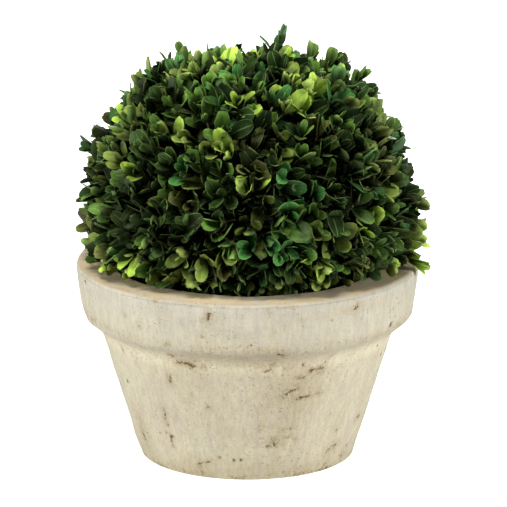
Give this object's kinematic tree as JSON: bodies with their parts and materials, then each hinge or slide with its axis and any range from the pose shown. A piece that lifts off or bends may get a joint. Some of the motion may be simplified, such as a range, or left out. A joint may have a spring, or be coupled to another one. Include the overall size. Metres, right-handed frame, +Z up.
{
  "type": "box topiary ball in a pot",
  "caption": "Box shrub clipped to a ball in a low round clay pot with a deep rim band.",
  "frame": {"origin": "centre of the pot's flat underside", "axes": "+Z up the pot's axis; -Y towards the pictured side; +X to the right as pictured"},
  "size_m": [0.2241, 0.2162, 0.2739],
  "materials": {
    "clay": "unglazed clay with a worn limewash",
    "potting_soil": "dark moist crumb",
    "bark": "rough pale brown bark",
    "foliage": "small leathery leaves with a soft sheen"
  },
  "bodies": {
    "root": {"pot": "clay", "soil": "potting_soil", "main_stem": "bark", "foliage_ball": "foliage"}
  },
  "joints": []
}
